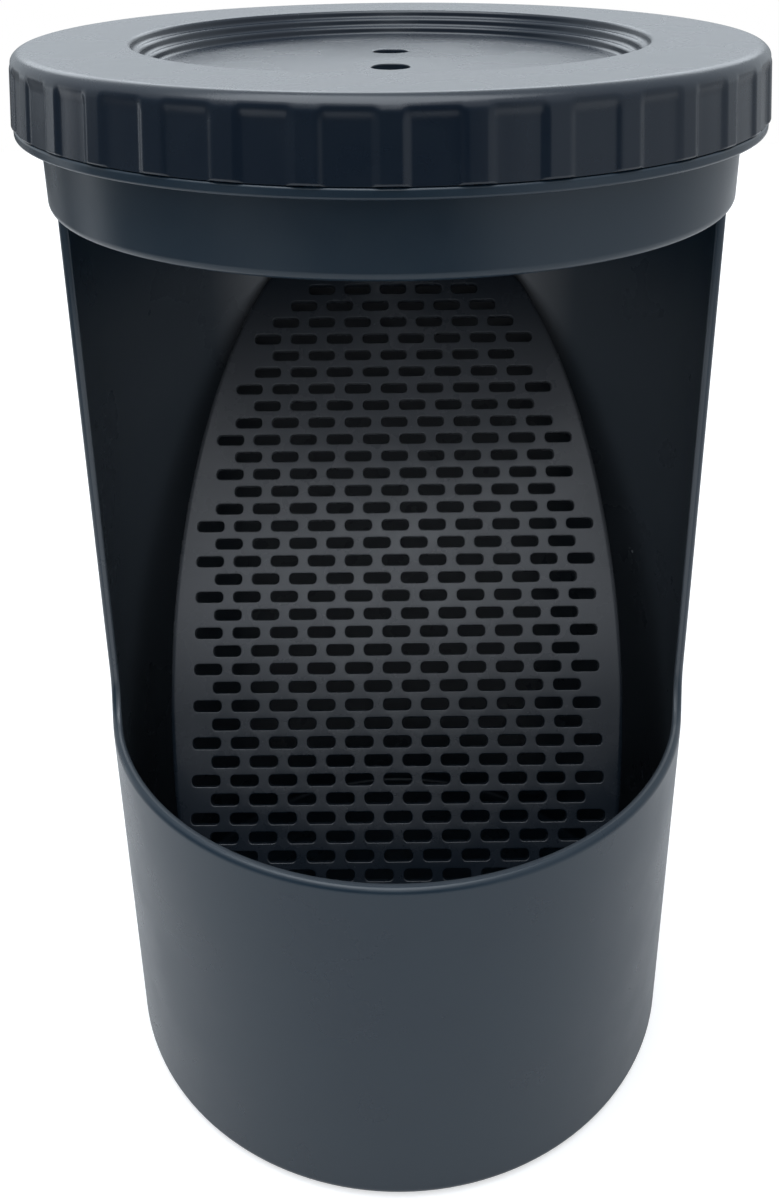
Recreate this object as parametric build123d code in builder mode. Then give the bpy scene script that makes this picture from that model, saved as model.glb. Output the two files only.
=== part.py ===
"""Hanging insect feeder: an open-fronted cup, a ribbed screw lid and a slotted climbing panel.

All sizes are in millimetres. The cup stands on the XY plane with its axis on +Z, and its window
faces -Y. The origin is the middle of the cup's underside.
"""
from build123d import *
import math
import os

os.makedirs("parts", exist_ok=True)

# Cup: a straight tube with a floor
cup_radius = 50.0
cup_wall = 1.6
floor_thickness = 2.4
base_edge_radius = 2.0

# Window: a notch cut from the front, whose sides lean forwards a little towards the bowl
bowl_height = 66.0
window_height = 90.1
window_foot_setback = 7.2
window_head_setback = 4.4
window_low_corner = 7.0
window_top_corner = 2.0
window_edge_round = 0.5

# Collar, flange and neck above the window
collar_height = 10.3
flange_thickness = 1.2
neck_height = 7.8
neck_wall = 1.6
neck_step = 0.4
neck_step_height = 3.0

# Lid: a top with a recess that goes down in steps to a slightly domed floor, and a skirt that
# widens downwards, with pockets between its ribs
lid_thickness = 2.0
lid_seat_gap = 0.1
thread_space = 1.2
skirt_gap = 0.3
skirt_wall = 2.3
skirt_draft = 0.9
pocket_depth = 0.6
pocket_top_margin = 1.5
pocket_corner = 1.6
rib_count = 36
rib_width = 2.0
shoulder_radius = 2.2
flange_inset = 0.3
recess_radius = 36.8
recess_steps = 3
recess_step_depth = 1.2
recess_step_slope = 0.3
recess_step_width = 1.2
recess_floor_rise = 0.5
recess_lip_round = 0.6
hole_diameter = 5.4
hole_spacing = 16.6
cutter_margin = 5.0

# Climbing panel: a flat slotted sheet that leans from the foot of the front wall to the back
panel_lean = 34.3
panel_thickness = 2.0
panel_clearance = 0.4
panel_foot_gap = 0.2
panel_foot_inset = 2.6
panel_head_drop = 35.5
panel_half_width = 40.4
panel_half_length = 90.0
slot_length = 4.9
slot_width = 1.9
slot_column_pitch = 6.75
slot_row_pitch = 3.2
slot_edge_margin = 1.8

# Heights and radii that follow from the sizes above
cup_inner_radius = cup_radius - cup_wall
neck_inner_radius = cup_inner_radius - neck_step
neck_outer_radius = neck_inner_radius + neck_wall
window_top = bowl_height + window_height
flange_bottom = window_top + collar_height
flange_top = flange_bottom + flange_thickness
neck_top = flange_top + neck_height
lid_underside = neck_top + lid_seat_gap
lid_top = lid_underside + lid_thickness
skirt_bottom = flange_top + skirt_gap
lid_bore_radius = neck_outer_radius + thread_space
pocket_floor_radius = lid_bore_radius + skirt_wall
lid_radius = pocket_floor_radius + pocket_depth
lid_top_radius = lid_radius - skirt_draft
flange_radius = lid_radius - flange_inset
cutter_reach = lid_radius + cutter_margin

# Cup, turned about its axis: floor, wall, flange and neck in one profile
with BuildPart() as cup:
    with BuildSketch(Plane.XZ):
        with BuildLine():
            FilletPolyline(
                (0, 0),
                (cup_radius, 0),
                (cup_radius, flange_bottom),
                (flange_radius, flange_bottom),
                (flange_radius, flange_top),
                (neck_outer_radius, flange_top),
                (neck_outer_radius, neck_top),
                (neck_inner_radius, neck_top),
                (neck_inner_radius, flange_bottom),
                (cup_inner_radius, flange_bottom - neck_step_height),
                (cup_inner_radius, floor_thickness),
                (0, floor_thickness),
                radius=[0, base_edge_radius, 0, 0, 0, 0, 0, 0, 0, 0, 0, 0],
                close=True,
            )
        make_face()
    revolve(axis=Axis.Z)
    # The window leaves the bowl below it, the collar above it and a little over half of the tube
    with BuildSketch(Plane.YZ):
        with BuildLine():
            FilletPolyline(
                (-cutter_reach, bowl_height),
                (-window_foot_setback, bowl_height),
                (-window_head_setback, window_top),
                (-cutter_reach, window_top),
                radius=[0, window_low_corner, window_top_corner, 0],
                close=True,
            )
        make_face()
    extrude(amount=cutter_reach, both=True, mode=Mode.SUBTRACT)
    fillet(cup.edges(Select.LAST), window_edge_round)

# Cutter for one pocket between two ribs: rounded upper corners, open at the skirt's lower edge
pocket_width = 2 * math.pi * lid_radius / rib_count - rib_width
pocket_top = lid_top - pocket_top_margin
pocket_height = pocket_top - skirt_bottom
skirt_height = lid_top - skirt_bottom
with BuildPart() as pocket:
    with BuildSketch(Plane.YZ.offset(lid_bore_radius)):
        with BuildLine():
            FilletPolyline(
                (-pocket_width / 2, skirt_bottom - pocket_height),
                (pocket_width / 2, skirt_bottom - pocket_height),
                (pocket_width / 2, pocket_top),
                (-pocket_width / 2, pocket_top),
                radius=[0, 0, pocket_corner, pocket_corner],
                close=True,
            )
        make_face()
    extrude(amount=cutter_reach - lid_bore_radius)
    # The pocket's floor has the skirt's draft
    with Locations((0, 0, skirt_bottom)):
        Cone(
            pocket_floor_radius + skirt_draft,
            pocket_floor_radius - skirt_draft,
            2 * skirt_height,
            mode=Mode.SUBTRACT,
        )

# The recess's steps, from its lip down to its floor: a steep riser and a narrow ledge each
recess_depth = recess_steps * recess_step_depth
recess_line = []
for step in range(recess_steps):
    step_radius = recess_radius - step * recess_step_width
    step_top = lid_top - step * recess_step_depth
    recess_line += [
        (step_radius, step_top),
        (step_radius - recess_step_slope, step_top - recess_step_depth),
    ]
recess_floor_radius = recess_line[-1][0]
recess_floor_middle = lid_top - recess_depth + recess_floor_rise

# Lid, turned about its axis, then pocketed round the skirt and drilled
with BuildPart() as lid:
    with BuildSketch(Plane.XZ):
        with BuildLine():
            FilletPolyline(
                (0, recess_floor_middle),
                *reversed(recess_line),
                (lid_top_radius, lid_top),
                (lid_radius, skirt_bottom),
                (lid_bore_radius, skirt_bottom),
                (lid_bore_radius, lid_underside),
                (recess_radius + lid_thickness, lid_underside),
                (recess_floor_radius + lid_thickness, lid_underside - recess_depth),
                (0, recess_floor_middle - lid_thickness),
                radius=[0] * len(recess_line) + [recess_lip_round, shoulder_radius] + [0] * 6,
                close=True,
            )
        make_face()
    revolve(axis=Axis.Z)
    # Half a step round from the front, so that a rib stands in the middle of the front
    with PolarLocations(0, rib_count, start_angle=180 / rib_count - 90):
        add(pocket.part, mode=Mode.SUBTRACT)
    with Locations((0, 0, recess_floor_middle)):
        with GridLocations(0, hole_spacing, 1, 2):
            Hole(hole_diameter / 2)

# Climbing panel: its front face passes through the cup's axis at the height of the sketch's origin
panel_reach = neck_inner_radius - panel_clearance
panel_foot = floor_thickness + panel_foot_gap
panel_head = flange_bottom - panel_head_drop
lean_sin = math.sin(math.radians(panel_lean))
lean_cos = math.cos(math.radians(panel_lean))
axis_crossing = panel_foot + (panel_reach - panel_foot_inset) * lean_cos / lean_sin
panel_plane = Plane(origin=(0, 0, axis_crossing), x_dir=(1, 0, 0), z_dir=(0, -lean_cos, lean_sin))


def slot_fits(x: float, y: float) -> bool:
    """True if a slot centred at x, y on the panel's plane keeps its margin to every edge."""
    for corner_x in (x - slot_length / 2, x + slot_length / 2):
        for corner_y in (y - slot_width / 2, y + slot_width / 2):
            across = corner_x / (panel_half_width - slot_edge_margin)
            along = corner_y / (panel_half_length - slot_edge_margin)
            if math.hypot(across, along) > 1:
                return False
            for depth in (0, panel_thickness):
                plan_y = corner_y * lean_sin + depth * lean_cos
                height = axis_crossing + corner_y * lean_cos - depth * lean_sin
                if math.hypot(corner_x, plan_y) > panel_reach - slot_edge_margin:
                    return False
                if not panel_foot + slot_edge_margin < height < panel_head - slot_edge_margin:
                    return False
    return True


# Bricked rows: every other row is shifted by half a column
row_reach = math.ceil(panel_half_length / slot_row_pitch)
column_reach = math.ceil(panel_half_width / slot_column_pitch)
slot_centres = []
for row in range(-row_reach, row_reach + 1):
    for column in range(-column_reach, column_reach + 1):
        slot_x = (column + 0.5 * (row % 2)) * slot_column_pitch
        slot_y = row * slot_row_pitch
        if slot_fits(slot_x, slot_y):
            slot_centres.append((slot_x, slot_y))

with BuildPart() as climbing_panel:
    with BuildSketch(panel_plane):
        Ellipse(panel_half_width, panel_half_length)
        with Locations(*slot_centres):
            Rectangle(slot_length, slot_width, mode=Mode.SUBTRACT)
    extrude(amount=-panel_thickness)
    # Its edges stand upright where the sheet meets the round wall, and its foot is flat on the floor
    with BuildSketch(Plane.XY.offset(panel_foot)):
        Circle(panel_reach)
    extrude(amount=panel_head - panel_foot, mode=Mode.INTERSECT)

cup.part.label = "cup"
export_step(cup.part, "parts/cup.step")

lid.part.label = "lid"
export_step(lid.part, "parts/lid.step")

climbing_panel.part.label = "climbing_panel"
export_step(climbing_panel.part, "parts/climbing_panel.step")
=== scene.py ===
"""Visual model of a hanging insect feeder: an open-fronted cup, a screw lid and a climbing panel.

Every length is in metres. The cup stands on the floor with its axis on +Z, and its window faces -Y.
Azimuths are measured about the axis from -Y towards +X, so 0 is the middle of the window.
"""

import logging
import math
from dataclasses import dataclass, field
from enum import Enum
from typing import Sequence

import bpy
import numpy as np
from mathutils import Matrix, Quaternion, Vector
from mathutils.geometry import delaunay_2d_cdt


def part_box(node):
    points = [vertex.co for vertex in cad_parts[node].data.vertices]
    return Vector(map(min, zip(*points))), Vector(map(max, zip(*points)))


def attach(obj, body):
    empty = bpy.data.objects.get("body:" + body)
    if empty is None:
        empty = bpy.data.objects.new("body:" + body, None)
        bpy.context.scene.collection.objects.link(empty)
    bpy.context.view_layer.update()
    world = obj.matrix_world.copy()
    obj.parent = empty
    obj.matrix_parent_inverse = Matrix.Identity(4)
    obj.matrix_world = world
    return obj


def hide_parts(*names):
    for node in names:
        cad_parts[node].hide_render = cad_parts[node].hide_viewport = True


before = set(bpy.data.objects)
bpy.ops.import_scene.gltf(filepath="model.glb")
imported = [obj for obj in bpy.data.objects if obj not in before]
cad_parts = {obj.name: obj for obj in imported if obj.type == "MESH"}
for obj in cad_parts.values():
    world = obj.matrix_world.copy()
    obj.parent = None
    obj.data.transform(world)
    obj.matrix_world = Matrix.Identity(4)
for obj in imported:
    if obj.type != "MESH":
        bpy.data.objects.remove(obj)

Array = np.ndarray
Triple = tuple[float, float, float]
Span = tuple[float, float]
Piece = bpy.types.Object
Tree = bpy.types.NodeTree
Node = bpy.types.Node
Socket = bpy.types.NodeSocket
LOG = logging.getLogger("insect_feeder")
FULL_TURN = 2 * math.pi
QUARTER_TURN = math.pi / 2
WELD_DISTANCE = 1e-7
TRIANGULATION_LIMIT = 1e-9
ARC_STEP = 0.00015
FEWEST_ARC_STEPS = 3
WHITE = (1.0, 1.0, 1.0)
# Sockets of the Mix node that carry colours
MIX_FIRST, MIX_SECOND, MIX_RESULT = 6, 7, 2
# Moulded grain: octaves and roughness of its two noises, and the values between which mottle grows
FINE_NOISE = (3.0, 0.6)
BROAD_NOISE = (5.0, 0.55)
MOTTLE_RANGE = (0.35, 0.65)
# Dust: the largest speck and its soft edge, as shares of a cell
LARGEST_SPECK = 0.05
SPECK_EDGE = 0.012
# Painted light inside the cup, a lighter colour that stands in for light and reflection: how far it
# fades at its upper and lower limits, and the depths between which it sets in
PAINTED_LIGHT_FADE = 0.022
PAINTED_LIGHT_DEPTHS = (0.029, 0.043)


class Body(Enum):
    """The bodies that the pieces ride on."""

    CUP = "cup"
    LID = "lid"
    PANEL = "climbing_panel"


class Slot(Enum):
    """The material slots, whose names the materials take."""

    CUP = "cup_plastic"
    LID = "lid_plastic"
    PANEL = "panel_plastic"


class Skin:
    """Gathers sheets of faces and welds them into one closed mesh with smooth normals."""

    def __init__(self) -> None:
        """Starts with no sheet."""
        self.points: list[Array] = []
        self.faces: list[Array] = []
        self.count = 0

    def add(self, points: Array, faces: Array) -> None:
        """Adds points and the faces between them.

        Args:
            points: rows of x, y, z.
            faces: rows of four point numbers, the last two alike in a triangle.
        """
        self.points.append(points)
        self.faces.append(faces + self.count)
        self.count += len(points)

    def grid(self, points: Array, turned: bool = False) -> None:
        """Adds a sheet of quads over a grid of points.

        Args:
            points: the grid, as rows by columns by x, y, z.
            turned: True to turn the faces over.
        """
        rows, columns = points.shape[:2]
        number = np.arange(rows * columns).reshape(rows, columns)
        corners = [number[:-1, :-1], number[:-1, 1:], number[1:, 1:], number[1:, :-1]]
        if turned:
            corners.reverse()
        self.add(points.reshape(-1, 3), np.stack(corners, axis=-1).reshape(-1, 4))

    def build(self, name: str) -> Piece:
        """Welds points that lie together, drops faces with no area and makes the object.

        A vertex normal is the sum of its faces' area vectors, each times its own length, so that
        small rounded edges don't shade the large faces beside them.

        Args:
            name: the object's name.

        Returns:
            The object, linked to the scene, at the origin.
        """
        points = np.concatenate(self.points)
        faces = np.concatenate(self.faces)
        keys = np.round(points / WELD_DISTANCE).astype(np.int64)
        _, first, welded = np.unique(keys, axis=0, return_index=True, return_inverse=True)
        points = points[first]
        faces = welded.reshape(-1)[faces]
        kept = faces != np.roll(faces, -1, axis=1)
        whole = kept.sum(axis=1) > 2
        faces, kept = faces[whole], kept[whole]

        corner = points[faces]
        area = np.cross(corner[:, 2] - corner[:, 0], corner[:, 3] - corner[:, 1]) / 2
        weight = area * np.linalg.norm(area, axis=1, keepdims=True)
        normals = np.zeros_like(points)
        for axis in range(3):
            share = np.where(kept, weight[:, axis, None], 0)
            normals[:, axis] = np.bincount(faces.ravel(), share.ravel(), len(points))
        normals /= np.linalg.norm(normals, axis=1, keepdims=True)

        mesh = bpy.data.meshes.new(name)
        mesh.vertices.add(len(points))
        mesh.vertices.foreach_set("co", points.astype(np.float32).ravel())
        mesh.loops.add(int(kept.sum()))
        mesh.loops.foreach_set("vertex_index", faces[kept].astype(np.int32))
        mesh.polygons.add(len(faces))
        starts = np.concatenate([[0], np.cumsum(kept.sum(axis=1))[:-1]])
        mesh.polygons.foreach_set("loop_start", starts.astype(np.int32))
        mesh.update(calc_edges=True)
        mesh.validate()
        mesh.polygons.foreach_set("use_smooth", np.ones(len(faces), bool))
        mesh.normals_split_custom_set_from_vertices(normals.astype(np.float32))
        piece = bpy.data.objects.new(name, mesh)
        bpy.context.scene.collection.objects.link(piece)
        return piece


def rounded(corners: Sequence[Triple], steps: int = 0) -> Array:
    """Rounds the corners of a line by tangent arcs.

    An arc of radius r in a corner with half angle h starts r / tan(h) along each side, and its
    centre lies r / sin(h) along the bisector. Its points turn evenly from side to side.

    Args:
        corners: x, y and radius of each corner, with radius 0 for ends and sharp corners.
        steps: how many steps an arc has, or 0 to let its length decide.

    Returns:
        The rounded line's points.
    """
    table = np.asarray(corners, float)
    line, radii = table[:, :2], table[:, 2]
    parts = []
    for index, radius in enumerate(radii):
        here = line[index]
        if radius == 0:
            parts.append(here[None])
            continue
        back = (line[index - 1] - here) / np.linalg.norm(line[index - 1] - here)
        ahead = (line[index + 1] - here) / np.linalg.norm(line[index + 1] - here)
        half = math.acos(np.clip(back @ ahead, -1, 1)) / 2
        bisector = (back + ahead) / np.linalg.norm(back + ahead)
        centre = here + bisector * radius / math.sin(half)
        start = here + back * radius / math.tan(half) - centre
        end = here + ahead * radius / math.tan(half) - centre
        sweep = math.pi - 2 * half
        pieces = steps or max(FEWEST_ARC_STEPS, math.ceil(radius * sweep / ARC_STEP))
        share = np.linspace(0, 1, pieces + 1)[:, None]
        arc = np.sin((1 - share) * sweep) * start + np.sin(share * sweep) * end
        parts.append(centre + arc / math.sin(sweep))
    return np.concatenate(parts)


def spread(line: Array, longest: float) -> Array:
    """Divides the sides of a line that are longer than a limit.

    Args:
        line: the line's points.
        longest: the longest side that is left as it is.

    Returns:
        The divided line's points.
    """
    parts = [line[:1]]
    for start, end in zip(line[:-1], line[1:]):
        pieces = max(1, math.ceil(np.linalg.norm(end - start) / longest))
        share = np.arange(1, pieces + 1)[:, None] / pieces
        parts.append(start + share * (end - start))
    return np.concatenate(parts)


def on_cylinder(radius: Array, azimuth: Array, height: Array) -> Array:
    """Turns cylinder coordinates into points: x = r sin(a), y = -r cos(a), z = height.

    Args:
        radius: distances from the axis.
        azimuth: angles about the axis.
        height: heights.

    Returns:
        The points, on a new last axis.
    """
    radius, azimuth, height = np.broadcast_arrays(radius, azimuth, height)
    return np.stack([radius * np.sin(azimuth), -radius * np.cos(azimuth), height], axis=-1)


def smooth(share: Array) -> Array:
    """Eases a share from 0 to 1 with level ends: 3 s squared less 2 s cubed."""
    share = np.clip(share, 0, 1)
    return share * share * (3 - 2 * share)


def rounded_edge(front: float, back: float, thickness: float, steps: int) -> tuple[Array, Array]:
    """Rounds the edge of a sheet by a quarter circle at each face, with a flat between them.

    At angle f of a quarter circle of radius r the depth is r (1 - cos f), the inset r (1 - sin f).

    Args:
        front: the radius at the front face.
        back: the radius at the back face.
        thickness: the sheet's thickness.
        steps: how many steps a quarter circle has.

    Returns:
        Depths below the front face, and how far the edge stands back at each.
    """
    angle = np.linspace(0, QUARTER_TURN, steps + 1)
    depth, inset = 1 - np.cos(angle), 1 - np.sin(angle)
    depths = np.concatenate([front * depth, thickness - back * depth[::-1]])
    return depths, np.concatenate([front * inset, back * inset[::-1]])


@dataclass
class Thread:
    """A screw thread: a rounded ridge that climbs a helix and sinks into its wall at both ends."""

    wall_radius: float
    side: int
    start_height: float
    ridge: float = 0.0008
    pitch: float = 0.0030
    turns: float = 1.35
    width: float = 0.0012
    sink: float = 0.0003
    lead_in: float = 0.5
    steps_per_turn: int = 96
    section_steps: int = 16
    squareness: float = 0.55

    def build(self, name: str) -> Piece:
        """Builds the ridge, which stands out of its wall with side 1 and in with side -1.

        Its section is a rounded box: a circle's cosine and sine raised to a power below 1. It runs
        along a helix, whose height grows by the pitch in each turn, and shrinks to nothing at both
        ends.

        Args:
            name: the object's name.

        Returns:
            The ridge.
        """
        count = int(self.steps_per_turn * self.turns) + 1
        turn = np.linspace(0, self.turns, count)[:, None] * FULL_TURN
        ends = np.minimum(turn, turn[::-1])
        size = np.sqrt(smooth(ends / self.lead_in))
        around = np.linspace(0, FULL_TURN, self.section_steps + 1)[None, :]
        across = np.sign(np.cos(around)) * np.abs(np.cos(around)) ** self.squareness
        along = np.sign(np.sin(around)) * np.abs(np.sin(around)) ** self.squareness
        root = self.wall_radius - self.side * self.sink
        radius = root + self.side * (self.ridge + self.sink) * size * (1 + across) / 2
        height = self.start_height + self.pitch * turn / FULL_TURN + size * along * self.width / 2
        skin = Skin()
        skin.grid(on_cylinder(radius, turn, height), turned=self.side > 0)
        return skin.build(name)


@dataclass
class Cup:
    """The cup: a straight tube with a floor, a window in its front, a flange and a neck."""

    radius: float = 0.0500
    wall: float = 0.0016
    floor: float = 0.0024
    foot_round: float = 0.0020
    corner_round: float = 0.0010
    bowl_height: float = 0.0660
    window_top: float = 0.1561
    foot_setback: float = 0.0072
    head_setback: float = 0.0044
    low_corner: float = 0.0070
    top_corner: float = 0.0020
    outer_round: float = 0.00110
    inner_round: float = 0.00040
    flange_bottom: float = 0.1664
    flange_thickness: float = 0.0014
    flange_round: float = 0.0004
    neck_wall: float = 0.0016
    neck_step: float = 0.0004
    neck_step_height: float = 0.0030
    neck_round: float = 0.0005
    thread_start: float = 0.1692
    half_turn_steps: int = 80
    low_corner_steps: int = 20
    side_steps: int = 50
    top_corner_steps: int = 8
    wall_rows: int = 50
    wall_ease: float = 1.2
    rim_steps: int = 8
    longest_step: float = 0.004

    def outline(self, depth: float, inset: float) -> tuple[Array, Array]:
        """Traces the window's edge on the wall, at a depth below the wall's outer face.

        From the side the window is a notch with two rounded corners. Its point at a distance d in
        front of the axis stands at azimuth arccos(d / radius). The trace starts in the middle of
        the bowl's rim, climbs the right side and comes down the left, and is then moved along its
        normal in the unrolled wall.

        Args:
            depth: how far below the outer face the trace lies.
            inset: how far the trace is moved into the wall.

        Returns:
            Azimuths and heights, the last point the same as the first.
        """
        radius = self.radius - depth
        notch = [
            (self.radius, self.bowl_height, 0),
            (self.foot_setback, self.bowl_height, self.low_corner),
            (self.head_setback, self.window_top, self.top_corner),
            (self.radius, self.window_top, 0)]
        low = rounded([*notch[:2], (*notch[2][:2], 0)], self.low_corner_steps)[1:-1]
        top = rounded([(*notch[1][:2], 0), *notch[2:]], self.top_corner_steps)[1:-1]
        share = np.linspace(0, 1, self.side_steps + 1)[1:-1, None]
        side = np.concatenate([low, (1 - share) * low[-1] + share * top[0], top])
        climb = np.arccos(side[:, 0] / radius)
        low_steps = self.half_turn_steps - self.low_corner_steps
        top_steps = self.half_turn_steps - self.top_corner_steps
        azimuth = np.concatenate([
            np.linspace(0, climb[0], low_steps + 1)[:-1],
            climb,
            np.linspace(climb[-1], 0, top_steps + 1)[1:]])
        height = np.concatenate([
            np.full(low_steps, self.bowl_height), side[:, 1], np.full(top_steps, self.window_top)])
        azimuth = np.concatenate([azimuth, -azimuth[-2:0:-1]])
        height = np.concatenate([height, height[-2:0:-1]])
        run = radius * (np.roll(azimuth, -1) - np.roll(azimuth, 1))
        rise = np.roll(height, -1) - np.roll(height, 1)
        length = np.hypot(run, rise)
        azimuth = azimuth + inset * rise / length / radius
        height = height - inset * run / length
        return np.append(azimuth, azimuth[0]), np.append(height, height[0])

    def wall_sheet(self, depth: float, inset: float, low: float, high: float) -> Array:
        """Spans one face of the wall between the window's edge and the wall's border.

        The border runs round the unrolled wall in step with the window's outline. A point is
        (1 - s) times the outline plus s times the border, in azimuth and height.

        Args:
            depth: the face's depth below the outer face.
            inset: how far the edge's rounding reaches into the face.
            low: the height of the lower border.
            high: the height of the upper border.

        Returns:
            The grid, from the window outwards.
        """
        half_turn = np.linspace(0, math.pi, self.half_turn_steps + 1)
        level = np.ones(len(half_turn))
        climb = np.linspace(low, high, self.side_steps + 1)[1:-1]
        azimuth = np.concatenate([half_turn, np.full(len(climb), math.pi), half_turn[::-1]])
        height = np.concatenate([low * level, climb, high * level])
        border = np.stack([
            np.append(azimuth, -azimuth[-2::-1]), np.append(height, height[-2::-1])])
        share = np.linspace(0, 1, self.wall_rows)[:, None, None] ** self.wall_ease
        sheet = (1 - share) * np.stack(self.outline(depth, inset)) + share * border
        return on_cylinder(self.radius - depth, sheet[:, 0], sheet[:, 1])

    def rim_sheet(self) -> Array:
        """Carries the rounded edge of the wall round the window.

        Returns:
            The grid, from the outer face to the inner face.
        """
        rows = []
        edge = rounded_edge(self.outer_round, self.inner_round, self.wall, self.rim_steps)
        for depth, inset in zip(*edge):
            rows.append(on_cylinder(self.radius - depth, *self.outline(depth, inset)))
        return np.stack(rows)

    def build(self) -> Piece:
        """Builds the cup as one closed shell, whose foot, neck and floor are turned profiles.

        Returns:
            The cup's shell.
        """
        _, top_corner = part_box("cup")
        flange_radius, neck_top = top_corner.x, top_corner.z
        inner = self.radius - self.wall
        neck_inner = inner - self.neck_step
        neck_outer = neck_inner + self.neck_wall
        flange_top = self.flange_bottom + self.flange_thickness
        outer_low, outer_high = self.foot_round, self.flange_bottom - self.flange_round
        inner_low = self.floor + self.corner_round
        inner_high = self.flange_bottom - self.neck_step_height
        azimuths = np.linspace(-math.pi, math.pi, 2 * self.half_turn_steps + 1)

        foot = rounded([
            (0, 0, 0), (self.radius, 0, self.foot_round), (self.radius, outer_low, 0)])
        neck = rounded([
            (self.radius, outer_high, 0), (self.radius, self.flange_bottom, self.flange_round),
            (flange_radius, self.flange_bottom, self.flange_round),
            (flange_radius, flange_top, self.flange_round), (neck_outer, flange_top, 0),
            (neck_outer, neck_top, self.neck_round), (neck_inner, neck_top, self.neck_round),
            (neck_inner, self.flange_bottom, 0), (inner, inner_high, 0)])
        floor = rounded([
            (inner, inner_low, 0), (inner, self.floor, self.corner_round), (0, self.floor, 0)])

        skin = Skin()
        skin.grid(self.wall_sheet(0, self.outer_round, outer_low, outer_high), turned=True)
        skin.grid(self.rim_sheet())
        skin.grid(self.wall_sheet(self.wall, self.inner_round, inner_low, inner_high))
        for profile in (foot, neck, floor):
            line = spread(profile, self.longest_step)
            skin.grid(on_cylinder(line[:, :1], azimuths, line[:, 1:]))
        shell = skin.build("cup_shell")
        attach(shell, Body.CUP.value)
        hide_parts("cup")
        return shell

    def build_thread(self) -> Piece:
        """Builds the neck's outer thread.

        Returns:
            The thread.
        """
        neck_outer = self.radius - self.wall - self.neck_step + self.neck_wall
        ridge = Thread(neck_outer, 1, self.thread_start).build("neck_thread")
        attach(ridge, Body.CUP.value)
        return ridge


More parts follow.
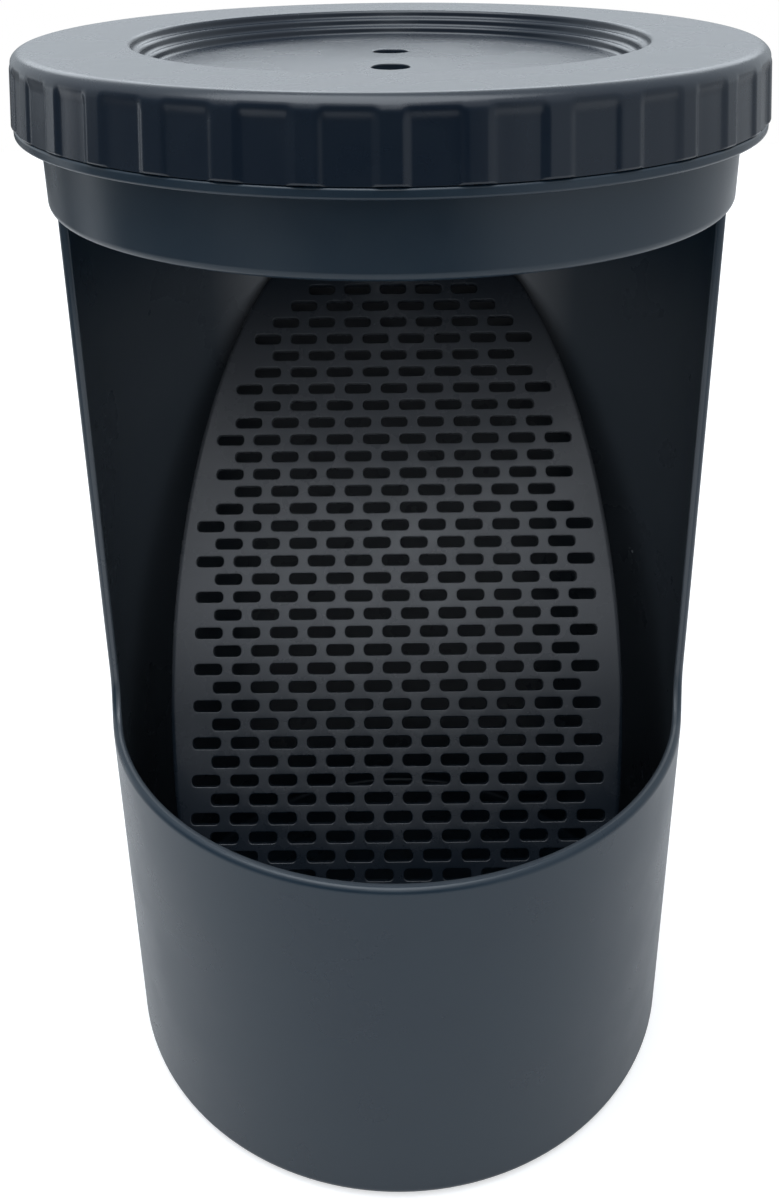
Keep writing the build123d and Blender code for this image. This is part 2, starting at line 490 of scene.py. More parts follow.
@dataclass
class Lid:
    """The lid: a flat top with a stepped recess and two hanging holes, and a skirt with ribs."""

    thickness: float = 0.0020
    bore_radius: float = 0.0508
    skirt_draft: float = 0.0009
    pocket_depth: float = 0.00045
    pocket_top_margin: float = 0.0006
    pocket_top_run: float = 0.0024
    pocket_wall_run: float = 0.00150
    rib_count: int = 36
    rib_half_width: float = 0.0010
    shoulder_round: float = 0.0022
    skirt_round: float = 0.0004
    recess_radius: float = 0.0368
    recess_lip_round: float = 0.0006
    recess_steps: int = 3
    step_depth: float = 0.0012
    step_slope: float = 0.0003
    step_width: float = 0.0012
    step_round: float = 0.00055
    floor_rise: float = 0.0005
    hole_radius: float = 0.0027
    hole_spacing: float = 0.0166
    hole_round: float = 0.0002
    thread_start: float = 0.1707
    plate_radius: float = 0.0200
    plate_rows: int = 7
    middle_steps: int = 60
    longest_step: float = 0.0032
    pocket_step: float = 0.00025
    rib_shares: tuple[float, ...] = (
        0, 0.15, 0.205, 0.24, 0.275, 0.31, 0.345, 0.38, 0.42, 0.50, 0.72)
    radius: float = field(init=False, default=0.0)
    top: float = field(init=False, default=0.0)
    bottom: float = field(init=False, default=0.0)
    floor_radius: float = field(init=False, default=0.0)

    def azimuths(self) -> Array:
        """Spaces the azimuths of a full turn, closest together at the sides of the ribs.

        Returns:
            The azimuths, from half a turn left to half a turn right.
        """
        pitch = FULL_TURN / self.rib_count
        shares = np.array(self.rib_shares)
        step = np.concatenate([shares, [1.0], 2 - shares[:0:-1]]) * pitch / 2
        ribs = (np.arange(self.rib_count) - self.rib_count / 2) * pitch
        return np.append((ribs[:, None] + step[None, :]).ravel(), math.pi)

    def skirt_radius(self, height: Array) -> Array:
        """Returns the skirt's outer radius at a height: it narrows evenly towards the top."""
        return self.radius - self.skirt_draft * (height - self.bottom) / (self.top - self.bottom)

    def dome(self, distance: Array) -> Array:
        """Returns how far the recess's floor rises at a distance from the axis: a flat cone."""
        return self.floor_rise * (1 - distance / self.floor_radius)

    def pocket(self, azimuth: Array, line: Array) -> Array:
        """Works out how far the pockets between the ribs go in.

        Beside a rib the surface eases down to the pocket's floor, which keeps the same depth below
        the skirt, and at the top it eases out of the shoulder.

        Args:
            azimuth: the columns' azimuths.
            line: radius and height of the profile's points.

        Returns:
            The depths, as profile points by azimuths.
        """
        radius, height = line[:, :1], line[:, 1:]
        pitch = FULL_TURN / self.rib_count
        from_rib = self.radius * np.abs((azimuth + pitch / 2) % pitch - pitch / 2)
        beside = smooth((from_rib[None, :] - self.rib_half_width) / self.pocket_wall_run)
        below = smooth((self.top - self.pocket_top_margin - height) / self.pocket_top_run)
        floor = self.skirt_radius(height) - self.pocket_depth
        return np.maximum(radius - floor, 0) * beside * below

    def plate(self, floor: float, underside: float, azimuths: Array, side: int) -> Array:
        """Spans half of the recess's floor, from its edge to its hole, through it and back below.

        A point stands in the direction of its edge point from the hole's centre. Its distance
        shrinks evenly towards the hole on both faces, and follows the hole's rounded profile in
        between.

        Args:
            floor: the height of the upper face at the recess's edge.
            underside: the height of the lower face there.
            azimuths: the azimuths of the whole turn.
            side: 1 for the half towards the window, -1 for the other half.

        Returns:
            The grid, one row for each ring.
        """
        if side < 0:
            azimuths = np.append(azimuths[azimuths > 0], azimuths[1:][azimuths[1:] < 0])
        arc = azimuths[side * np.cos(azimuths) >= -WELD_DISTANCE]
        rim = on_cylinder(self.plate_radius, arc, 0)[:, :2]
        middle = np.linspace(side, -side, self.middle_steps + 1)[1:] * self.plate_radius
        edge = np.concatenate([rim, np.stack([middle, np.zeros_like(middle)], axis=-1)])
        centre = np.array([0, -side * self.hole_spacing / 2])
        reach = np.linalg.norm(edge - centre, axis=1)
        direction = (edge - centre) / reach[:, None]
        share = np.linspace(0, 1, self.plate_rows)[:, None]
        mouth = self.hole_radius + self.hole_round
        flat = (1 - share) * reach + share * mouth
        hole = rounded([
            (mouth, floor, 0), (self.hole_radius, floor, self.hole_round),
            (self.hole_radius, underside, self.hole_round), (mouth, underside, 0)])
        distance = np.concatenate([flat, np.tile(hole[1:-1, :1], len(edge)), flat[::-1]])
        height = np.concatenate([
            np.full(self.plate_rows, floor), hole[1:-1, 1], np.full(self.plate_rows, underside)])
        plan = centre + distance[:, :, None] * direction
        level = height[:, None] + self.dome(np.linalg.norm(plan, axis=-1))
        return np.concatenate([plan, level[:, :, None]], axis=-1)

    def build(self) -> Piece:
        """Builds the lid as one closed shell: a turned and pocketed profile and the recess's floor.

        Returns:
            The lid's shell.
        """
        low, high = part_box("lid")
        self.radius, self.top, self.bottom = high.x, high.z, low.z
        under = self.top - self.thickness
        drop = self.recess_steps * self.step_depth
        steps = []
        for step in reversed(range(self.recess_steps)):
            lip = self.recess_radius - step * self.step_width
            level = self.top - step * self.step_depth
            steps.append((lip - self.step_slope, level - self.step_depth, self.step_round))
            steps.append((lip, level, self.step_round if step else self.recess_lip_round))
        self.floor_radius = steps[0][0]
        rise = float(self.dome(self.plate_radius))
        pocket_foot = self.top - self.pocket_top_margin - self.pocket_top_run
        seam = (float(self.skirt_radius(pocket_foot)), pocket_foot, 0)
        upper = rounded([
            (self.plate_radius, self.top - drop + rise, 0), *steps,
            (float(self.skirt_radius(self.top)), self.top, self.shoulder_round), seam])
        lower = rounded([
            seam, (self.radius, self.bottom, self.skirt_round),
            (self.bore_radius, self.bottom, self.skirt_round), (self.bore_radius, under, 0),
            (self.recess_radius + self.thickness, under, 0),
            (self.floor_radius + self.thickness, under - drop, 0),
            (self.plate_radius, under - drop + rise, 0)])
        line = np.concatenate([
            spread(upper[:-1], self.longest_step),
            spread(upper[-2:], self.pocket_step)[1:],
            spread(lower, self.longest_step)[1:]])
        azimuths = self.azimuths()
        depth = self.pocket(azimuths, line)
        skin = Skin()
        skin.grid(on_cylinder(line[:, :1] - depth, azimuths, line[:, 1:]), turned=True)
        for side in (1, -1):
            skin.grid(self.plate(self.top - drop, under - drop, azimuths, side))
        shell = skin.build("lid_shell")
        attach(shell, Body.LID.value)
        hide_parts("lid")
        return shell

    def build_thread(self) -> Piece:
        """Builds the inner thread of the skirt, half a pitch out of step with the neck's.

        Returns:
            The thread.
        """
        ridge = Thread(self.bore_radius, -1, self.thread_start).build("lid_thread")
        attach(ridge, Body.LID.value)
        return ridge


@dataclass
class ClimbingPanel:
    """The climbing panel: a leaning flat sheet with bricked rows of short rounded slots."""

    lean: float = math.radians(34.3)
    thickness: float = 0.0020
    reach: float = 0.0476
    foot_inset: float = 0.0026
    half_width: float = 0.0404
    half_length: float = 0.0900
    slot_length: float = 0.0049
    slot_width: float = 0.0019
    slot_corner: float = 0.00075
    column_pitch: float = 0.00675
    row_pitch: float = 0.0032
    slot_margin: float = 0.0018
    edge_round: float = 0.0009
    slot_round: float = 0.0002
    outline_steps: int = 720
    corner_steps: int = 4
    slot_round_steps: int = 2
    foot: float = field(init=False, default=0.0)
    head: float = field(init=False, default=0.0)
    crossing: float = field(init=False, default=0.0)

    def outline(self, depth: float, inset: float) -> Array:
        """Traces the sheet's outline at a depth below its front face.

        The outline is the nearest of four limits along each ray from the sheet's middle: the
        ellipse, the upright round wall, the level foot and the level head. The wall's limit is the
        larger root of a quadratic equation.

        Args:
            depth: how far below the front face the trace lies.
            inset: how far every limit is moved inwards.

        Returns:
            Rows of x and y on the sheet, the last the same as the first.
        """
        sine, cosine = math.sin(self.lean), math.cos(self.lean)
        angle = np.linspace(0, FULL_TURN, self.outline_steps + 1)
        ray_x, ray_y = np.cos(angle), np.sin(angle)
        across, along = self.half_width - inset, self.half_length - inset
        ellipse = 1 / np.hypot(ray_x / across, ray_y / along)
        plan, slope = depth * cosine, ray_y * sine
        square = ray_x ** 2 + slope ** 2
        root = np.sqrt((plan * slope) ** 2 - square * (plan ** 2 - (self.reach - inset) ** 2))
        wall = (root - plan * slope) / square
        level = self.crossing - depth * sine
        room = np.where(ray_y > 0, self.head - inset - level, self.foot + inset - level)
        with np.errstate(divide="ignore"):
            ends = room / (ray_y * cosine)
        ends = np.where(np.abs(ray_y) < WELD_DISTANCE, np.inf, ends)
        length = np.minimum(np.minimum(ellipse, wall), ends)
        return np.stack([length * ray_x, length * ray_y], axis=-1)

    def slot_centres(self) -> Array:
        """Finds the slots that keep their margin to every edge, in rows shifted by half a column.

        Returns:
            Rows of x and y on the sheet.
        """
        rows = math.ceil(self.half_length / self.row_pitch)
        columns = math.ceil(self.half_width / self.column_pitch)
        row, column = np.mgrid[-rows:rows + 1, -columns:columns + 1]
        centre_x = (column + (row % 2) / 2) * self.column_pitch
        centre_y = row * self.row_pitch
        corner_x = np.abs(centre_x) + self.slot_length / 2
        fits = np.ones(row.shape, bool)
        for half in (-self.slot_width / 2, self.slot_width / 2):
            corner_y = centre_y + half
            across = corner_x / (self.half_width - self.slot_margin)
            along = corner_y / (self.half_length - self.slot_margin)
            fits &= np.hypot(across, along) <= 1
            for depth in (0, self.thickness):
                corner = self.place(np.stack([corner_x, corner_y], axis=-1), depth)
                plan, height = np.hypot(corner[..., 0], corner[..., 1]), corner[..., 2]
                fits &= plan <= self.reach - self.slot_margin
                fits &= height > self.foot + self.slot_margin
                fits &= height < self.head - self.slot_margin
        return np.stack([centre_x[fits], centre_y[fits]], axis=-1)

    def slot_outline(self, growth: float) -> Array:
        """Traces a slot about its centre: a rectangle with rounded corners.

        Args:
            growth: how far the slot is grown on every side.

        Returns:
            Rows of x and y, with no point twice.
        """
        angle = np.linspace(0, QUARTER_TURN, self.corner_steps + 1)
        radius = self.slot_corner + growth
        turn = (angle + np.arange(4)[:, None] * QUARTER_TURN).ravel()
        flat_x = self.slot_length / 2 - self.slot_corner
        flat_y = self.slot_width / 2 - self.slot_corner
        side_x = np.repeat([1, -1, -1, 1], self.corner_steps + 1) * flat_x
        side_y = np.repeat([1, 1, -1, -1], self.corner_steps + 1) * flat_y
        return np.stack([side_x + radius * np.cos(turn), side_y + radius * np.sin(turn)], axis=-1)

    def place(self, flat: Array, depth: Array) -> Array:
        """Places points of the sheet in the cup.

        A way up the slope rises by the cosine of the lean and goes back by its sine. A depth goes
        back by the cosine and sinks by the sine.

        Args:
            flat: x and y on the sheet.
            depth: distances below the front face.

        Returns:
            The points, with x, y, z on the last axis.
        """
        sine, cosine = math.sin(self.lean), math.cos(self.lean)
        across, along = flat[..., 0], flat[..., 1]
        plan = along * sine + depth * cosine
        height = self.crossing + along * cosine - depth * sine
        return np.stack([across, plan, height], axis=-1)

    def face_sheet(self, skin: Skin, rim: Array, slots: Array, depth: float, back: bool) -> None:
        """Adds one flat face: a triangulation between its outline and its slots.

        Outline and slots are convex, so a triangle lies in a slot exactly where all three of its
        corners belong to that slot, and it is left out.

        Args:
            skin: the mesh in the making.
            rim: the outline's points, none twice.
            slots: the points of each slot.
            depth: the face's depth below the front face.
            back: True for the face at the back.
        """
        points = np.concatenate([rim, slots.reshape(-1, 2)])
        owner = np.concatenate([
            np.full(len(rim), -1), np.repeat(np.arange(len(slots)), slots.shape[1])])
        number = np.arange(len(points))
        loops = number[None, :len(rim)], number[len(rim):].reshape(slots.shape[:2])
        edges = np.concatenate([
            np.stack([loop, np.roll(loop, -1, axis=1)], axis=-1).reshape(-1, 2) for loop in loops])
        result = delaunay_2d_cdt(
            [Vector(point) for point in (points / self.half_width).tolist()],
            edges.tolist(), [], 0, TRIANGULATION_LIMIT)
        source = np.array([sources[0] for sources in result[3]])
        triangles = source[np.array([list(face) for face in result[2]])]
        owners = owner[triangles]
        in_slot = (owners[:, 0] >= 0) & (owners == owners[:, :1]).all(axis=1)
        triangles = triangles[~in_slot]
        if back:
            triangles = triangles[:, ::-1]
        skin.add(self.place(points, depth), triangles[:, [0, 1, 2, 2]])

    def build(self) -> Piece:
        """Builds the panel as one closed sheet with its slots right through.

        Returns:
            The panel's sheet.
        """
        low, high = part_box("climbing_panel")
        self.foot, self.head = low.z, high.z
        self.crossing = self.foot + (self.reach - self.foot_inset) / math.tan(self.lean)
        centres = self.slot_centres()
        skin = Skin()
        edge = rounded_edge(self.edge_round, self.edge_round, self.thickness, self.corner_steps)
        rows = [self.place(self.outline(depth, inset), depth) for depth, inset in zip(*edge)]
        skin.grid(np.stack(rows), turned=True)

        depths, growths = rounded_edge(
            self.slot_round, self.slot_round, self.thickness, self.slot_round_steps)
        shapes = np.stack([self.slot_outline(growth) for growth in growths])
        loops = np.concatenate([shapes, shapes[:, :1]], axis=1)
        for centre in centres:
            skin.grid(self.place(loops + centre, depths[:, None]))

        mouths = centres[:, None, :] + self.slot_outline(self.slot_round)[None]
        for depth, back in ((0, False), (self.thickness, True)):
            rim = self.outline(depth, self.edge_round)[:-1]
            self.face_sheet(skin, rim, mouths, depth, back)
        sheet = skin.build("climbing_panel_sheet")
        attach(sheet, Body.PANEL.value)
        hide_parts("climbing_panel")
        LOG.info("climbing panel: %d slots", len(centres))
        return sheet


class NodeSheet:
    """Adds nodes to a tree and links them, for materials, groups and the world."""

    def __init__(self, tree: Tree) -> None:
        """Keeps the tree that the nodes go into."""
        self.tree = tree

    def add(self, kind: str, inputs: dict | None = None, **values: object) -> Node:
        """Adds a node, sets its properties and feeds its inputs.

        Args:
            kind: the node's type name.
            inputs: a source for each input, under the input's name or number.
            values: the properties to set.

        Returns:
            The node.
        """
        node = self.tree.nodes.new(kind)
        for name, value in values.items():
            setattr(node, name, value)
        for name, source in (inputs or {}).items():
            self.feed(node.inputs[name], source)
        return node

    def feed(self, target: Socket, source: object) -> None:
        """Gives an input a linked output or a plain value.

        Args:
            target: the input.
            source: an output, a number or a colour.
        """
        if isinstance(source, Socket):
            self.tree.links.new(source, target)
        else:
            target.default_value = (*source, 1) if isinstance(source, tuple) else source

    def maths(self, operation: str, first: object, second: object = 0.0) -> Socket:
        """Adds an arithmetic node.

        Args:
            operation: the operation's name.
            first: the first operand.
            second: the second operand.

        Returns:
            The result's socket.
        """
        return self.add("ShaderNodeMath", {0: first, 1: second}, operation=operation).outputs[0]

    def remap(self, value: object, low: float, high: float, start: float = 0.0, end: float = 1.0,
              style: str = "SMOOTHSTEP") -> Socket:
        """Maps a range of a value to another range.

        Args:
            value: the value.
            low: one end of its range.
            high: the other end.
            start: the result at low.
            end: the result at high.
            style: the interpolation's name.

        Returns:
            The result's socket.
        """
        numbers = dict(enumerate((value, low, high, start, end)))
        return self.add("ShaderNodeMapRange", numbers, interpolation_type=style).outputs[0]

    def mix(self, share: object, first: object, second: object) -> Socket:
        """Mixes two colours.

        Args:
            share: the second colour's share.
            first: the first colour.
            second: the second colour.

        Returns:
            The mixed colour's socket.
        """
        inputs = {"Factor": share, MIX_FIRST: first, MIX_SECOND: second}
        return self.add("ShaderNodeMix", inputs, data_type="RGBA").outputs[MIX_RESULT]


def new_group(name: str, inputs: Sequence[str], outputs: Sequence[str]) -> tuple:
    """Makes an empty shader node group, whose sockets are a vector and values.

    Args:
        name: the group's name.
        inputs: the names of the inputs after the vector.
        outputs: the names of the outputs.

    Returns:
        The group's node sheet, its input node and its output node.
    """
    tree = bpy.data.node_groups.new(name, "ShaderNodeTree")
    tree.interface.new_socket("Vector", in_out="INPUT", socket_type="NodeSocketVector")
    for label in inputs:
        tree.interface.new_socket(label, in_out="INPUT", socket_type="NodeSocketFloat")
    for label in outputs:
        tree.interface.new_socket(label, in_out="OUTPUT", socket_type="NodeSocketFloat")
    sheet = NodeSheet(tree)
    return sheet, sheet.add("NodeGroupInput"), sheet.add("NodeGroupOutput")


def grain_group() -> Tree:
    """Builds the group for moulded grain: a fine height, and a broad mottle for colour and gloss.

    Returns:
        The group.
    """
    sheet, given, result = new_group(
        "moulded_grain", ["Grain Scale", "Mottle Scale"], ["Height", "Mottle"])
    noises = []
    for scale, (detail, roughness) in (("Grain Scale", FINE_NOISE), ("Mottle Scale", BROAD_NOISE)):
        noises.append(sheet.add("ShaderNodeTexNoise", noise_dimensions="3D", inputs={
            "Vector": given.outputs["Vector"], "Scale": given.outputs[scale],
            "Detail": detail, "Roughness": roughness}).outputs[0])
    sheet.feed(result.inputs["Height"], noises[0])
    sheet.feed(result.inputs["Mottle"], sheet.remap(noises[1], *MOTTLE_RANGE))
    return sheet.tree


def dust_group() -> Tree:
    """Builds the group for dust: small specks in a few of the cells of a random pattern.

    Returns:
        The group.
    """
    sheet, given, result = new_group("dust_specks", ["Cells", "Share"], ["Mask"])
    cells = sheet.add("ShaderNodeTexVoronoi", voronoi_dimensions="3D", feature="F1", inputs={
        "Vector": given.outputs["Vector"], "Scale": given.outputs["Cells"]})
    channel = sheet.add("ShaderNodeSeparateColor", {0: cells.outputs["Color"]})
    chosen = sheet.maths("LESS_THAN", channel.outputs[0], given.outputs["Share"])
    size = sheet.maths("MULTIPLY", channel.outputs[1], LARGEST_SPECK)
    edge = sheet.maths("SUBTRACT", size, cells.outputs["Distance"])
    spot = sheet.remap(edge, 0.0, SPECK_EDGE)
    sheet.feed(result.inputs["Mask"], sheet.maths("MULTIPLY", spot, chosen))
    return sheet.tree


def painted_light_group() -> Tree:
    """Builds the mask for painted light: a lighter colour inside the cup, strongest behind the
    panel.

    Returns:
        The group.
    """
    sheet, given, result = new_group("inner_painted_light", ["Radius", "Low", "High", "Front"], ["Mask"])
    split = sheet.add("ShaderNodeSeparateXYZ", {0: given.outputs["Vector"]})
    across = sheet.maths("POWER", split.outputs["X"], 2.0)
    along = sheet.maths("POWER", split.outputs["Y"], 2.0)
    distance = sheet.maths("SQRT", sheet.maths("ADD", across, along))
    inside = sheet.maths("LESS_THAN", distance, given.outputs["Radius"])
    above = sheet.maths("SUBTRACT", split.outputs["Z"], given.outputs["Low"])
    below = sheet.maths("SUBTRACT", given.outputs["High"], split.outputs["Z"])
    room = sheet.remap(sheet.maths("MINIMUM", above, below), 0.0, PAINTED_LIGHT_FADE)
    depth = sheet.remap(split.outputs["Y"], *PAINTED_LIGHT_DEPTHS)
    behind = sheet.maths("MAXIMUM", depth, given.outputs["Front"])
    covered = sheet.maths("MULTIPLY", room, behind)
    sheet.feed(result.inputs["Mask"], sheet.maths("MULTIPLY", inside, covered))
    return sheet.tree


@dataclass(frozen=True)
class PlasticFinish:
    """The finish of one moulding: its colour, gloss and grain, the dust on it, and painted light
    inside the cup.
    """

    slot: Slot
    colour: Triple
    pale_colour: Triple
    roughness: float
    grain_scale: float
    mottle_scale: float
    painted_light_strength: float
    roughness_swing: float = 0.03
    ior: float = 1.50
    grain_depth: float = 0.000006
    mottle_strength: float = 0.5
    dust_cells: float = 90.0
    dust_share: float = 0.03
    dust_colour: Triple = (0.42, 0.45, 0.47)
    # Painted light: a lighter colour inside the cup that stands in for light and reflection, with
    # its share in front of the panel, its colour, heights and radius
    painted_light_front: float = 1.0
    painted_light_colour: Triple = (0.080, 0.085, 0.094)
    painted_light_low: float = 0.060
    painted_light_high: float = 0.132
    painted_light_radius: float = 0.0492

    def build(self, grain: Tree, dust: Tree, painted_light_tree: Tree) -> bpy.types.Material:
        """Builds the material.

        Args:
            grain: the group for moulded grain.
            dust: the group for dust.
            painted_light_tree: the group for the light painted inside the cup.

        Returns:
            The material.
        """
        material = bpy.data.materials.new(self.slot.value)
        material.use_nodes = True
        sheet = NodeSheet(material.node_tree)
        shader = material.node_tree.nodes["Principled BSDF"]
        sheet.feed(shader.inputs["IOR"], self.ior)
        place = sheet.add("ShaderNodeTexCoord").outputs["Object"]
        texture = sheet.add("ShaderNodeGroup", node_tree=grain, inputs={
            "Vector": place, "Grain Scale": self.grain_scale, "Mottle Scale": self.mottle_scale})
        specks = sheet.add("ShaderNodeGroup", node_tree=dust, inputs={
            "Vector": place, "Cells": self.dust_cells, "Share": self.dust_share})
        # Painted light: inside the cup the colour is lightened to stand in for the light and
        # reflection that fall there
        painted_light_node = sheet.add("ShaderNodeGroup", node_tree=painted_light_tree, inputs={
            "Vector": place, "Radius": self.painted_light_radius, "Low": self.painted_light_low,
            "High": self.painted_light_high, "Front": self.painted_light_front})
        shade = sheet.maths("MULTIPLY", texture.outputs["Mottle"], self.mottle_strength)
        plastic = sheet.mix(shade, self.colour, self.pale_colour)
        share = sheet.maths("MULTIPLY", painted_light_node.outputs["Mask"], self.painted_light_strength)
        lit_plastic = sheet.mix(share, plastic, self.painted_light_colour)
        dusty = sheet.mix(specks.outputs["Mask"], lit_plastic, self.dust_colour)
        sheet.feed(shader.inputs["Base Color"], dusty)
        low = self.roughness - self.roughness_swing
        high = self.roughness + self.roughness_swing
        gloss = sheet.remap(texture.outputs["Mottle"], 0.0, 1.0, low, high, "LINEAR")
        sheet.feed(shader.inputs["Roughness"], gloss)
        bump = sheet.add("ShaderNodeBump", {
            "Strength": 1.0, "Distance": self.grain_depth, "Height": texture.outputs["Height"]})
        sheet.feed(shader.inputs["Normal"], bump.outputs["Normal"])
        return material


# The cup and the panel are painted lighter inside the cup between two heights, as painted light;
# the lid gets none
CUP_FINISH = PlasticFinish(
    Slot.CUP, (0.0085, 0.0200, 0.0330), (0.0120, 0.0255, 0.0390), roughness=0.30,
    grain_scale=9000.0, mottle_scale=55.0, painted_light_strength=1.0, dust_share=0.05,
    painted_light_front=0.35, painted_light_colour=(0.120, 0.127, 0.136), painted_light_low=0.004, painted_light_high=0.150)
LID_FINISH = PlasticFinish(
    Slot.LID, (0.0040, 0.0095, 0.0185), (0.0065, 0.0130, 0.0225), roughness=0.27,
    grain_scale=4200.0, mottle_scale=70.0, painted_light_strength=0.0, roughness_swing=0.02)
PANEL_FINISH = PlasticFinish(
    Slot.PANEL, (0.0080, 0.0125, 0.0190), (0.0120, 0.0165, 0.0240), roughness=0.26,
    grain_scale=6500.0, mottle_scale=120.0, painted_light_strength=0.95, grain_depth=0.000010)


@dataclass(frozen=True)
class PhotoCamera:
    """The photograph's viewpoint, as a pinhole camera whose sensor is as tall as the picture."""

    place: Triple = (0.0, -0.1820, 0.1979)
    pitch: float = 0.4082
    yaw: float = 0.0016
    roll: float = 0.0094
    focal_length: float = 36.60
    sensor_height: float = 36.0
    shift_x: float = -0.0049
    shift_y: float = -0.1599
    nearest: float = 0.01

    def build(self) -> None:
        """Makes the scene's camera, turned by its yaw, pitched down and rolled."""
        turn = Matrix.Rotation(-self.yaw, 4, "Z")
        turn @= Matrix.Rotation(QUARTER_TURN - self.pitch, 4, "X")
        turn @= Matrix.Rotation(-self.roll, 4, "Z")
        lens = bpy.data.cameras.new("photo_camera")
        lens.sensor_fit = "VERTICAL"
        lens.sensor_height = self.sensor_height
        lens.lens = self.focal_length
        lens.shift_x, lens.shift_y = self.shift_x, self.shift_y
        lens.clip_start = self.nearest
        camera = bpy.data.objects.new("photo_camera", lens)
        camera.matrix_world = Matrix.Translation(self.place) @ turn
        bpy.context.scene.collection.objects.link(camera)
        bpy.context.scene.camera = camera


@dataclass(frozen=True)
class SoftBox:
    """A rectangular soft lamp that faces the middle of the object."""

    name: str
    place: Triple
    width: float
    height: float
    radiance: float
    aim: Triple = (0.0, 0.0, 0.10)
    colour: Triple = (0.94, 1.00, 1.06)
    spin: float = 0.0

    def build(self) -> None:
        """Makes the lamp. Its power is radiance times area times pi."""
        lamp = bpy.data.lights.new(self.name, "AREA")
        lamp.shape = "RECTANGLE"
        lamp.size, lamp.size_y = self.width, self.height
        lamp.energy = self.radiance * self.width * self.height * math.pi
        lamp.color = self.colour
        box = bpy.data.objects.new(self.name, lamp)
        aim = Vector(self.aim) - Vector(self.place)
        turn = aim.to_track_quat("-Z", "Y") @ Quaternion((0, 0, 1), self.spin)
        box.rotation_euler = turn.to_euler()
        box.location = self.place
        box.visible_camera = False
        bpy.context.scene.collection.objects.link(box)


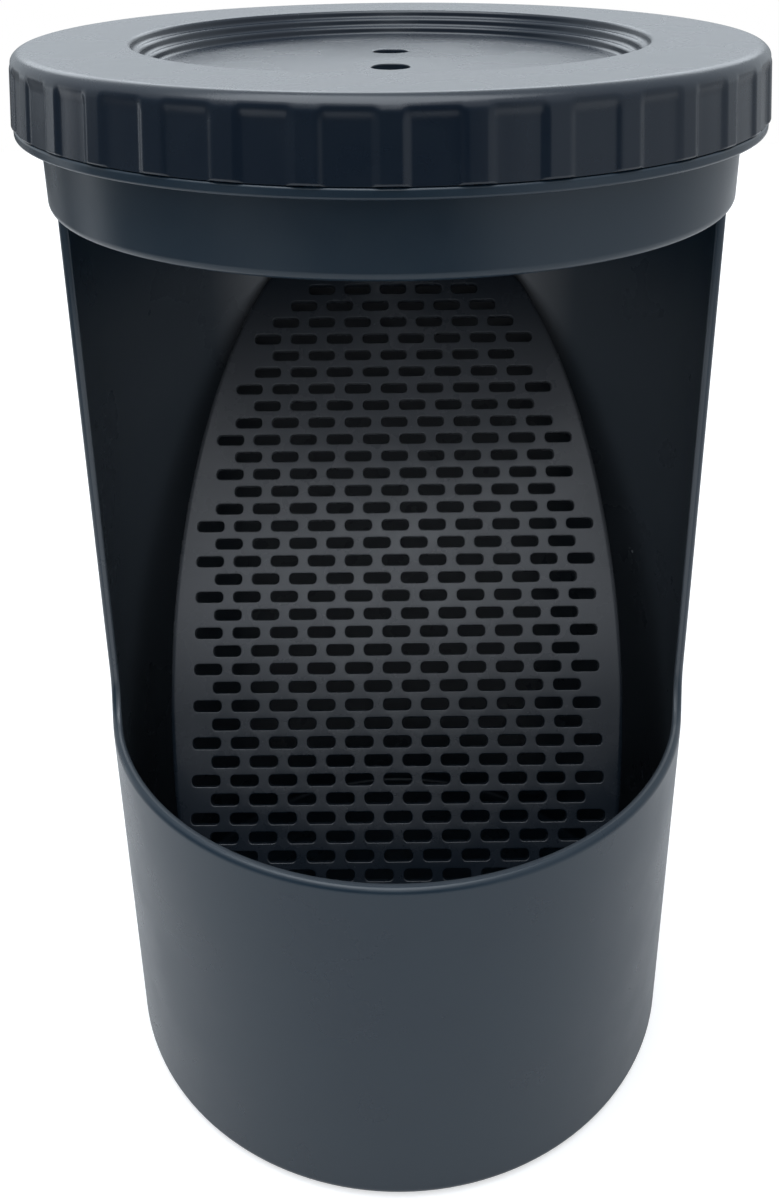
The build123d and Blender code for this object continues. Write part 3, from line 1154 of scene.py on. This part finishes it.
@dataclass
class Studio:
    """The pale floor, the soft lamps and the surroundings that the plastic reflects."""

    floor_corners: tuple[Span, ...] = ((-0.36, -0.38), (0.50, -0.38), (0.50, 0.80), (-0.36, 0.80))
    floor_gap: float = 0.0002
    floor_colour: Triple = (0.62, 0.62, 0.62)
    floor_roughness: float = 0.9
    floor_glow: float = 0.56
    mirrored_share: float = 0.12
    low_middle: Triple = (0.015, 0.016, 0.017)
    low_left: Triple = (0.11, 0.12, 0.13)
    low_right: Triple = (0.46, 0.49, 0.52)
    high_front: Triple = (0.72, 0.75, 0.79)
    high_behind: Triple = (0.72, 0.78, 0.83)
    fill: Triple = (0.62, 0.65, 0.69)
    # Directions between which one colour of the surroundings fades into the next
    left_fade: Span = (-0.65, -0.30)
    right_fade: Span = (0.30, 0.65)
    high_fade: Span = (0.40, 0.62)
    horizon_fade: Span = (-0.10, 0.03)
    behind_fade: Span = (-0.15, 0.30)
    # The lamps' names, places, widths, heights and radiances
    lamps: tuple[SoftBox, ...] = (
        SoftBox("top_box", (-0.12, -0.16, 1.12), 1.00, 0.90, 3.3),
        SoftBox("streak_strip", (0.01, -0.88, 0.82), 0.10, 0.46, 2.6, spin=-0.30),
        SoftBox("back_box", (0.0, 1.25, 0.75), 1.60, 0.50, 1.8),
        SoftBox("left_strip", (-0.70, 0.72, -0.04), 0.20, 0.50, 0.3),
        SoftBox("left_band", (-0.94, 0.31, -0.08), 0.16, 0.60, 1.3),
    )

    def build_floor(self) -> None:
        """Makes the floor, which is nearly white outside the object's shadow."""
        mesh = bpy.data.meshes.new("floor")
        corners = [(x, y, -self.floor_gap) for x, y in self.floor_corners]
        mesh.from_pydata(corners, [], [range(len(corners))])
        floor = bpy.data.objects.new("floor", mesh)
        bpy.context.scene.collection.objects.link(floor)
        material = bpy.data.materials.new("pale_floor")
        material.use_nodes = True
        sheet = NodeSheet(material.node_tree)
        shader = material.node_tree.nodes["Principled BSDF"]
        sheet.feed(shader.inputs["Base Color"], self.floor_colour)
        sheet.feed(shader.inputs["Roughness"], self.floor_roughness)
        sheet.feed(shader.inputs["Emission Color"], WHITE)
        path = sheet.add("ShaderNodeLightPath")
        share = sheet.maths("MULTIPLY", self.mirrored(sheet, path), self.mirrored_share)
        seen = sheet.maths("MAXIMUM", path.outputs["Is Camera Ray"], share)
        glow = sheet.maths("MULTIPLY", seen, self.floor_glow)
        sheet.feed(shader.inputs["Emission Strength"], glow)
        mesh.materials.append(material)

    @staticmethod
    def mirrored(sheet: NodeSheet, path: Node) -> Socket:
        """Returns 1 for rays that a surface mirrors or lets through, and 0 for the rest."""
        return sheet.maths(
            "MAXIMUM", path.outputs["Is Glossy Ray"], path.outputs["Is Transmission Ray"])

    def build_world(self) -> None:
        """Makes the surroundings that give light and reflections.

        The camera sees plain white, and reflections see the surroundings: dim low down, paler to
        the left and right, and pale high up and behind. Diffuse light comes evenly from all sides.
        """
        world = bpy.data.worlds.new("studio")
        world.use_nodes = True
        bpy.context.scene.world = world
        sheet = NodeSheet(world.node_tree)
        background = world.node_tree.nodes["Background"]
        path = sheet.add("ShaderNodeLightPath")
        direction = sheet.add("ShaderNodeTexCoord").outputs["Generated"]
        split = sheet.add("ShaderNodeSeparateXYZ", {0: direction})
        leftwards = sheet.remap(split.outputs["X"], *self.left_fade, 1.0, 0.0)
        rightwards = sheet.remap(split.outputs["X"], *self.right_fade)
        low = sheet.mix(leftwards, self.low_middle, self.low_left)
        low = sheet.mix(rightwards, low, self.low_right)
        above = sheet.remap(split.outputs["Z"], *self.high_fade)
        front = sheet.mix(above, low, self.high_front)
        over_horizon = sheet.remap(split.outputs["Z"], *self.horizon_fade)
        back = sheet.mix(over_horizon, low, self.high_behind)
        behind = sheet.remap(split.outputs["Y"], *self.behind_fade)
        reflected = sheet.mix(behind, front, back)
        light = sheet.mix(self.mirrored(sheet, path), self.fill, reflected)
        shown = sheet.mix(path.outputs["Is Camera Ray"], light, WHITE)
        sheet.feed(background.inputs["Color"], shown)

    def build(self) -> None:
        """Makes the floor, the surroundings and the lamps."""
        self.build_floor()
        self.build_world()
        for lamp in self.lamps:
            lamp.build()


def dress(piece: Piece, material: bpy.types.Material) -> None:
    """Gives a piece its material and logs how many faces it has.

    Args:
        piece: the piece.
        material: its material.
    """
    piece.data.materials.clear()
    piece.data.materials.append(material)
    LOG.info("%s: %d faces", piece.name, len(piece.data.polygons))


def main() -> None:
    logging.basicConfig(level=logging.INFO, format="%(name)s: %(message)s")
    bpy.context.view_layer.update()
    bpy.context.scene.view_settings.view_transform = "Standard"
    PhotoCamera().build()
    Studio().build()
    groups = grain_group(), dust_group(), painted_light_group()
    cup, lid, panel = Cup(), Lid(), ClimbingPanel()
    for node, finish, builds in (
            ("cup", CUP_FINISH, (cup.build, cup.build_thread)),
            ("lid", LID_FINISH, (lid.build, lid.build_thread)),
            ("climbing_panel", PANEL_FINISH, (panel.build,))):
        plastic = finish.build(*groups)
        for build in builds:
            dress(build(), plastic)
        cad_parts[node].data.materials.clear()
        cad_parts[node].data.materials.append(plastic)


if __name__ == "__main__":
    main()
